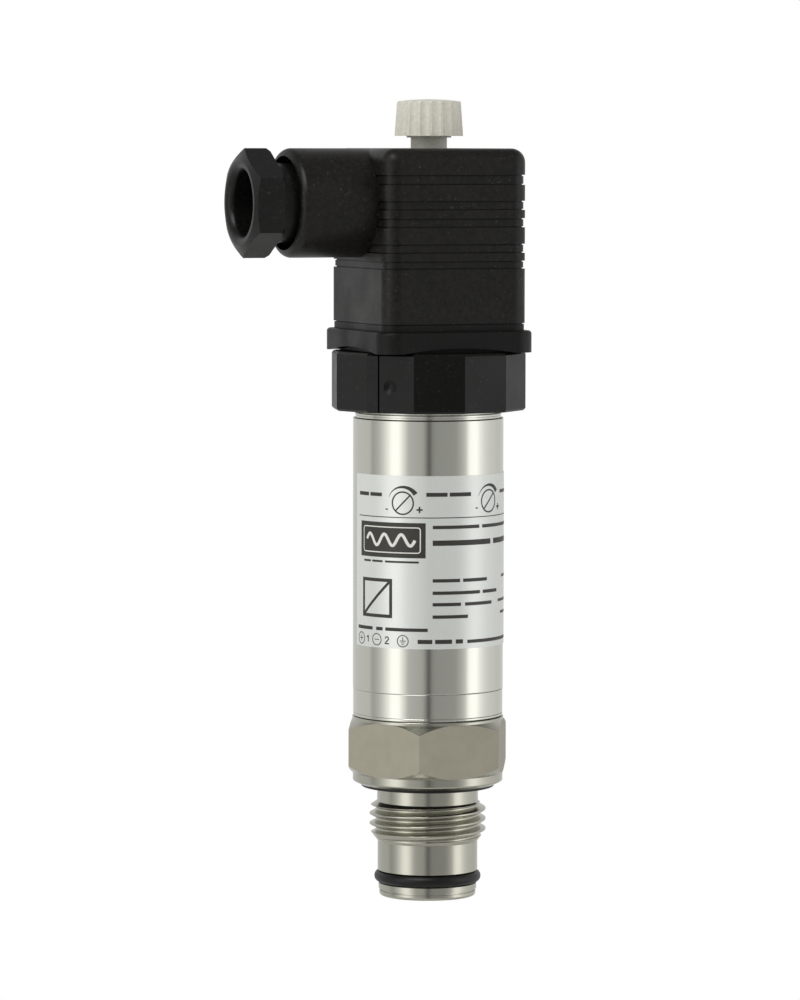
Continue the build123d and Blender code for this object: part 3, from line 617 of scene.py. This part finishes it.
# %% Square with a diagonal
SIDES_S = (-13.6, -7.0)
SIDES_Z = (31.2, 37.6)
SIGN_LINE = 0.6
DIAGONAL_LINE = 0.5
half = SIGN_LINE / 2
for z in SIDES_Z:
    ribbon([(SIDES_S[0] - half, z), (SIDES_S[1] + half, z)], SIGN_LINE)
for s in SIDES_S:
    ribbon([(s, SIDES_Z[0] - half), (s, SIDES_Z[1] + half)], SIGN_LINE)
ribbon([(-13.4, 31.4), (-7.2, 37.4)], DIAGONAL_LINE)
print("converter sign is", round(SIDES_S[1] - SIDES_S[0], 1), "mm wide")

# %% [markdown]
# ## Terminal signs
# The bottom line shows which terminal is which: plus, 1, minus, 2 and earth. Each is a few
# strokes of an even width, so they are lists of points too.

# %% Plus, 1, minus, 2, earth
TERMINAL_R = 1.02
TERMINAL_LINE = 0.16
THIN = 0.14
BOLD = 0.22
for s, z in [(-14.4, 26.93), (-10.05, 26.95), (-4.63, 26.88)]:
    ring(s, z, TERMINAL_R, TERMINAL_LINE)
bar(-14.95, 26.87, -13.85, 27.01)
ribbon([(-14.4, 26.4), (-14.4, 27.46)], THIN)
ribbon([(-12.65, 27.2), (-12.25, 27.5), (-12.25, 26.4)], BOLD)
bar(-10.6, 26.88, -9.5, 27.02)
two = [(-8.15, 27.2), (-7.95, 27.5), (-7.55, 27.5), (-7.4, 27.15), (-8.2, 26.3), (-7.3, 26.3)]
ribbon(two, BOLD)
ribbon([(-4.63, 27.6), (-4.63, 26.9)], THIN)
bar(-5.2, 26.83, -4.06, 26.97)
bar(-5.0, 26.52, -4.26, 26.64)
bar(-4.85, 26.22, -4.41, 26.33)
print("dark print has", len(dark_print.faces), "faces")

# %% [markdown]
# ## The ink as objects
# A print must face out, or its shading turns dark, so each face is turned by comparing its
# normal with the way out from the tube's axis.

# %% Put the ink on the label
def printed(name, shape, material):
    """Turn a print into an object on the label, facing out."""
    mesh = bpy.data.meshes.new(name)
    for face in shape.faces:
        face.normal_update()
        middle = face.calc_center_median()
        if face.normal.x * middle.x + face.normal.y * middle.y < 0:
            face.normal_flip()
    shape.to_mesh(mesh)
    shape.free()
    made = bpy.data.objects.new(name, mesh)
    bpy.context.collection.objects.link(made)
    mesh.materials.append(material)
    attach(made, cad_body("label"))
    print(name, "has", len(mesh.polygons), "faces")


printed("label_print", dark_print, ink)
printed("label_print_light", light_print, light_ink)

# %% [markdown]
# ## Studio
# Steel shows its surroundings, so the studio is drawn as bands of light round the object:
# a soft box on each side, a paler wall behind it and a darker room behind the camera, with a
# narrow dark gap where the camera stands. The bands are in the world's colour, by compass
# angle, and fade to a dimmer ceiling and floor. The camera sees plain white instead.

# %% World
BANDS = [                   # angle from the camera, to the right, and light level
    (-180, 0.74), (-101, 0.76), (-96, 0.50), (-84, 0.64), (-76, 0.86), (-66, 1.25),
    (-58, 1.75), (-46, 1.75), (-38, 1.15), (-30, 0.66), (-9, 0.60), (-4, 0.40),
    (1, 0.03), (6, 0.38), (12, 0.43), (42, 0.44), (52, 0.62), (60, 0.85),
    (66, 1.7), (80, 1.75), (88, 1.3), (100, 1.02), (112, 0.9), (140, 0.76), (180, 0.74),
]
PEAK = 1.8                  # level that the colours of the bands are shares of
CEILING_SHARE = 0.35        # how light the ceiling is against the walls
FADE_FROM, FADE_TO = 0.4, 0.8   # steepness at which the walls start and end to fade

world = bpy.data.worlds.new("studio")
bpy.context.scene.world = world
world.use_nodes = True
sky = world.node_tree
sky.nodes.clear()
way = node(sky, "ShaderNodeTexCoord").outputs["Generated"]
split = node(sky, "ShaderNodeSeparateXYZ", Vector=way)
compass = node(
    sky, "ShaderNodeMath", {"operation": "ARCTAN2"}, i0=split.outputs["Y"], i1=split.outputs["X"]
).outputs[0]
shifted = node(
    sky, "ShaderNodeMath", {"operation": "MULTIPLY_ADD"},
    i0=compass, i1=1 / (2 * pi), i2=0.5 - FRONT / 360 + 1,
).outputs[0]
share = node(sky, "ShaderNodeMath", {"operation": "FRACT"}, i0=shifted).outputs[0]
ramp = node(sky, "ShaderNodeValToRGB", Fac=share)
ramp.color_ramp.interpolation = "EASE"
stops = ramp.color_ramp.elements
for position, (angle, level) in enumerate(BANDS):
    spot = 0.5 + angle / 360
    stop = stops[position] if position < 2 else stops.new(spot)
    stop.position = spot
    stop.color = (level / PEAK, level / PEAK, level / PEAK, 1)
steepness = node(sky, "ShaderNodeMath", {"operation": "ABSOLUTE"}, i0=split.outputs["Z"]).outputs[0]
strength = node(
    sky, "ShaderNodeMapRange", {"interpolation_type": "SMOOTHSTEP"}, Value=steepness,
    From_Min=FADE_FROM, From_Max=FADE_TO, To_Min=PEAK, To_Max=PEAK * CEILING_SHARE,
).outputs[0]
bands = node(sky, "ShaderNodeBackground", Color=ramp.outputs[0], Strength=strength)
white = node(sky, "ShaderNodeBackground", Color=(1, 1, 1, 1), Strength=1.0)
rays = node(sky, "ShaderNodeLightPath")
choice = node(sky, "ShaderNodeMixShader", Fac=rays.outputs["Is Camera Ray"])
sky.links.new(bands.outputs[0], choice.inputs[1])
sky.links.new(white.outputs[0], choice.inputs[2])
target = node(sky, "ShaderNodeOutputWorld")
sky.links.new(choice.outputs[0], target.inputs[0])
print("studio has", len(BANDS), "bands")

# %% [markdown]
# ## Overhead lamp
# Black plastic needs a soft highlight to show its shape. One square lamp, high on the left,
# gives it, and it is large and weak so that the steel hardly shows it.

# %% Lamp
LAMP_SIDE = 0.5             # metres
LAMP_POWER = 5.0            # watts
LAMP_PLACE = (-0.49, -0.41, 0.82)
LAMP_AIM = Vector((0, 0, 0.05))

lamp_data = bpy.data.lights.new("overhead", "AREA")
lamp_data.shape = "RECTANGLE"
lamp_data.size = LAMP_SIDE
lamp_data.size_y = LAMP_SIDE
lamp_data.energy = LAMP_POWER
lamp = bpy.data.objects.new("overhead", lamp_data)
lamp.location = LAMP_PLACE
lamp.rotation_euler = (LAMP_AIM - lamp.location).to_track_quat("-Z", "Y").to_euler()
bpy.context.collection.objects.link(lamp)
print("lamp is", round((LAMP_AIM - lamp.location).length, 2), "m away")

# %% [markdown]
# ## Floor
# The picture has a plain white ground with no visible horizon. A pale sheet hangs well below
# the part, because it would tip over on its rounded end. It gives bounced light and keeps a
# faint shadow, and a little of its own light, for the camera only, lifts it to the white of the
# background. Seen from below it is clear, so that the part's end can be looked at.

# %% Floor
FLOOR_Z = -200 * MM
FLOOR_HALF = 0.45           # metres from the middle to each edge
FLOOR_GLOW = 0.45           # light of its own, for the camera only
PAPER_FIBRES = 300.0        # fibres in a metre, much coarser than real ones


def pale_floor():
    """Matt white paper that glows a little for the camera and is clear from below."""
    material, tree, output = finish("studio_paper_white")
    place = node(tree, "ShaderNodeTexCoord").outputs["Object"]
    fibre = node(
        tree, "ShaderNodeTexNoise", Vector=place, Scale=PAPER_FIBRES, Detail=2.0
    ).outputs[0]
    bump = node(tree, "ShaderNodeBump", Height=fibre, Strength=0.05, Distance=0.1 * MM).outputs[0]
    paper = node(tree, "ShaderNodeBsdfDiffuse", Color=linear("F4F4F2"), Normal=bump).outputs[0]
    seen = node(tree, "ShaderNodeLightPath").outputs["Is Camera Ray"]
    level = node(
        tree, "ShaderNodeMath", {"operation": "MULTIPLY"}, i0=seen, i1=FLOOR_GLOW
    ).outputs[0]
    glow = node(tree, "ShaderNodeEmission", Color=(1, 1, 1, 1), Strength=level).outputs[0]
    both = node(tree, "ShaderNodeAddShader", i0=paper, i1=glow)
    clear = node(tree, "ShaderNodeBsdfTransparent").outputs[0]
    below = node(tree, "ShaderNodeNewGeometry").outputs["Backfacing"]
    one_sided = node(tree, "ShaderNodeMixShader", Fac=below, i1=both.outputs[0], i2=clear)
    tree.links.new(one_sided.outputs[0], output.inputs[0])
    return material


floor_mesh = bpy.data.meshes.new("floor")
corners = [
    (x * FLOOR_HALF, y * FLOOR_HALF, FLOOR_Z) for x, y in [(-1, -1), (1, -1), (1, 1), (-1, 1)]
]
floor_mesh.from_pydata(corners, [], [(0, 1, 2, 3)])
floor_mesh.materials.append(pale_floor())
floor_sheet = bpy.data.objects.new("floor", floor_mesh)
bpy.context.collection.objects.link(floor_sheet)

# %% [markdown]
# ## Camera
# The picture was taken from about 0.9 m with a long lens, slightly from above. The camera is
# aimed level with the middle of the picture and stands a little to the left, because the part
# stands right of the picture's middle.

# %% Camera
DISTANCE = 0.899            # metres
TURN = radians(-90 - FRONT)
DROP = radians(4.107)
AIM_Z = 51.1 * MM
SIDESTEP = 5.06 * MM
ROLL = radians(0.09)
SENSOR = 36.0               # millimetres, as is the lens
LENS = 180.0
NEAR, FAR = 0.05, 20.0      # nearest and farthest that is seen, in metres

camera_data = bpy.data.cameras.new("camera")
camera_data.sensor_fit = "VERTICAL"
camera_data.sensor_height = SENSOR
camera_data.lens = LENS
camera_data.clip_start = NEAR
camera_data.clip_end = FAR
camera = bpy.data.objects.new("camera", camera_data)
look = Vector((sin(TURN) * cos(DROP), cos(TURN) * cos(DROP), -sin(DROP)))
to_right = Vector((cos(TURN), -sin(TURN), 0))
camera.location = Vector((0, 0, AIM_Z)) - look * DISTANCE - to_right * SIDESTEP
camera.rotation_euler = (look.to_track_quat("-Z", "Y") @ Quaternion((0, 0, 1), ROLL)).to_euler()
bpy.context.collection.objects.link(camera)
bpy.context.scene.camera = camera
bpy.context.scene.view_settings.view_transform = "Standard"
print("camera at", [round(v, 3) for v in camera.location])
